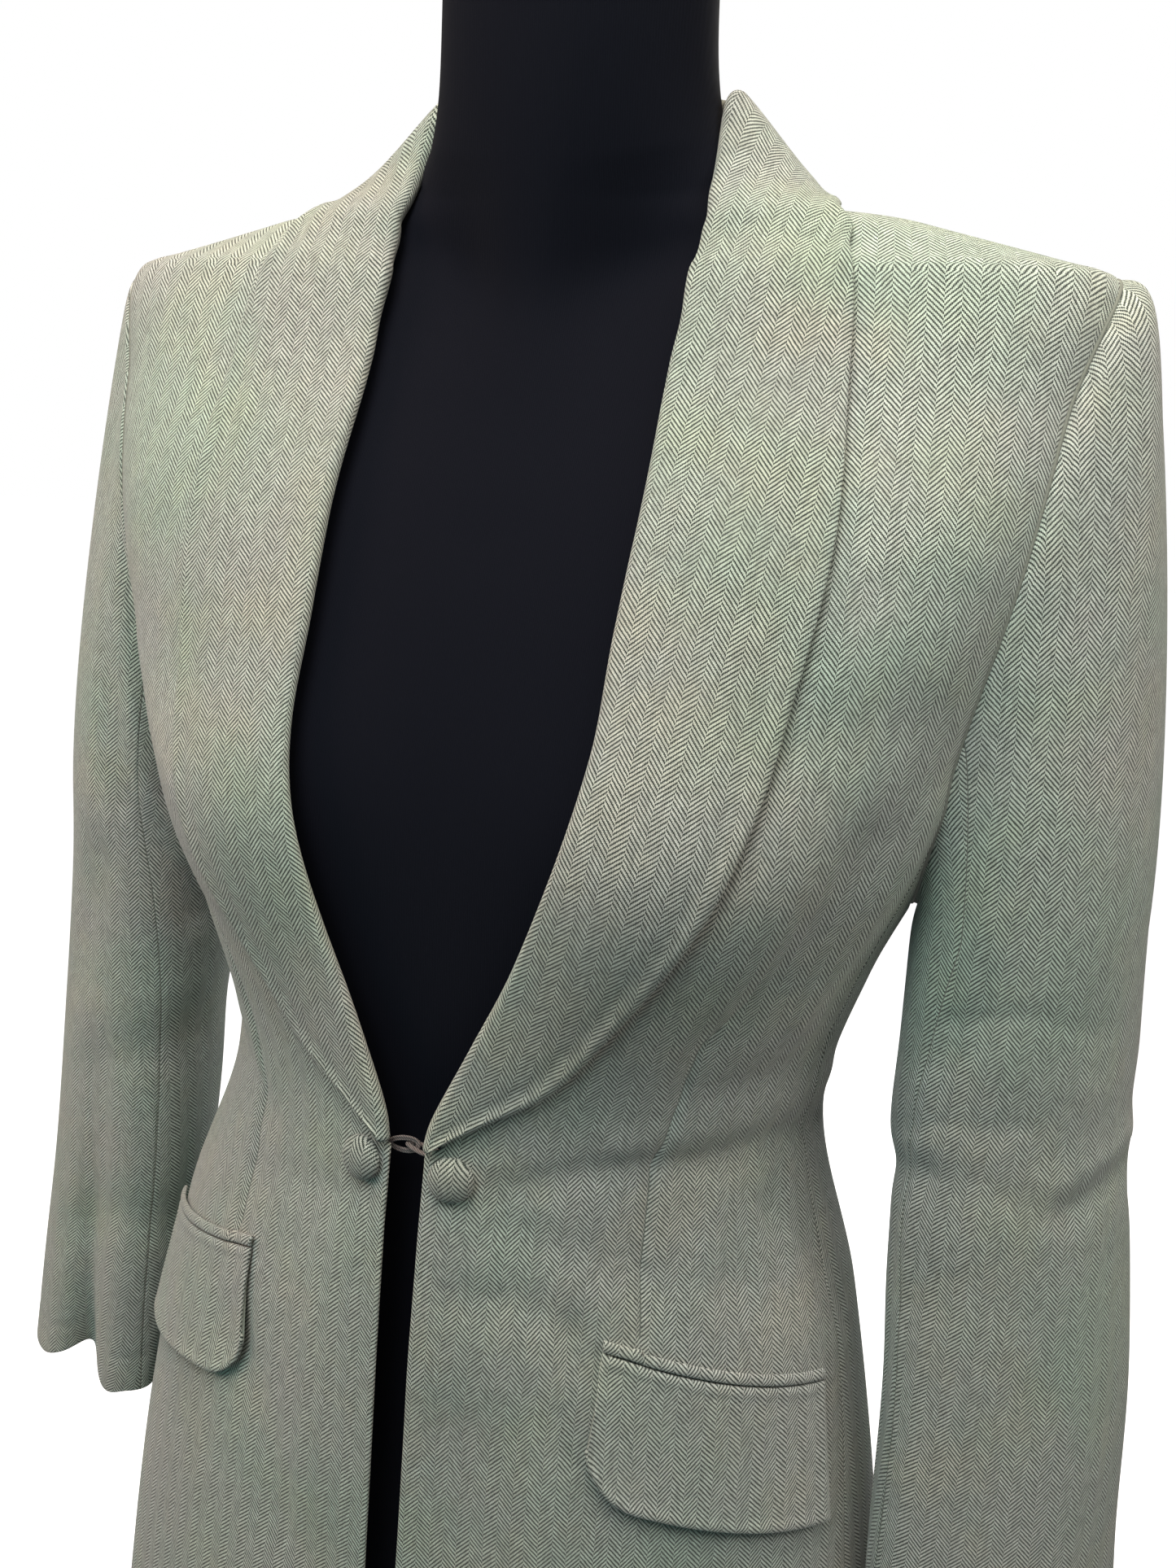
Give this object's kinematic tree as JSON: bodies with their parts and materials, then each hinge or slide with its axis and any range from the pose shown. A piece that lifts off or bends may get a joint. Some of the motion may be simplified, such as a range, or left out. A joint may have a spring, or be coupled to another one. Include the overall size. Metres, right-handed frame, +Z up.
{
  "type": "day coat on a limbless dress form with a stand",
  "caption": "Fitted herringbone day coat with a long shawl collar, linked front, flap pockets and long sleeves, on a limbless dress form.",
  "frame": {"origin": "centre of the round base's underside, on the floor", "axes": "+Z up along the pole; the coat faces -Y; the wearer's left is +X"},
  "size_m": [0.5963, 0.401, 1.57],
  "materials": {
    "front_left_finish": "matte wool herringbone",
    "front_right_finish": "matte wool herringbone",
    "side_left_finish": "matte wool herringbone",
    "side_right_finish": "matte wool herringbone",
    "back_left_finish": "matte wool herringbone",
    "back_right_finish": "matte wool herringbone",
    "collar_left_finish": "matte wool herringbone",
    "collar_right_finish": "matte wool herringbone",
    "sleeve_top_left_finish": "matte wool herringbone",
    "sleeve_top_right_finish": "matte wool herringbone",
    "sleeve_under_left_finish": "matte wool herringbone",
    "sleeve_under_right_finish": "matte wool herringbone",
    "pocket_flap_left_finish": "matte wool herringbone",
    "pocket_flap_right_finish": "matte wool herringbone",
    "pocket_welt_left_finish": "matte wool herringbone",
    "pocket_welt_right_finish": "matte wool herringbone",
    "covered_button_left_finish": "covered in the coat's cloth",
    "covered_button_right_finish": "covered in the coat's cloth",
    "link_loop_left_finish": "grey twisted thread",
    "link_loop_right_finish": "grey twisted thread",
    "dress_form_finish": "smooth black jersey cover",
    "stand_base_finish": "satin black paint",
    "stand_foot_finish": "satin black paint",
    "stand_pole_finish": "satin black paint"
  },
  "bodies": {
    "root": {"front_left": "front_left_finish", "front_right": "front_right_finish", "side_left": "side_left_finish", "side_right": "side_right_finish", "back_left": "back_left_finish", "back_right": "back_right_finish", "collar_left": "collar_left_finish", "collar_right": "collar_right_finish", "sleeve_top_left": "sleeve_top_left_finish", "sleeve_top_right": "sleeve_top_right_finish", "sleeve_under_left": "sleeve_under_left_finish", "sleeve_under_right": "sleeve_under_right_finish", "pocket_flap_left": "pocket_flap_left_finish", "pocket_flap_right": "pocket_flap_right_finish", "pocket_welt_left": "pocket_welt_left_finish", "pocket_welt_right": "pocket_welt_right_finish", "covered_button_left": "covered_button_left_finish", "covered_button_right": "covered_button_right_finish", "link_loop_left": "link_loop_left_finish", "link_loop_right": "link_loop_right_finish", "dress_form": "dress_form_finish", "stand_base": "stand_base_finish", "stand_foot": "stand_foot_finish", "stand_pole": "stand_pole_finish"}
  },
  "joints": []
}
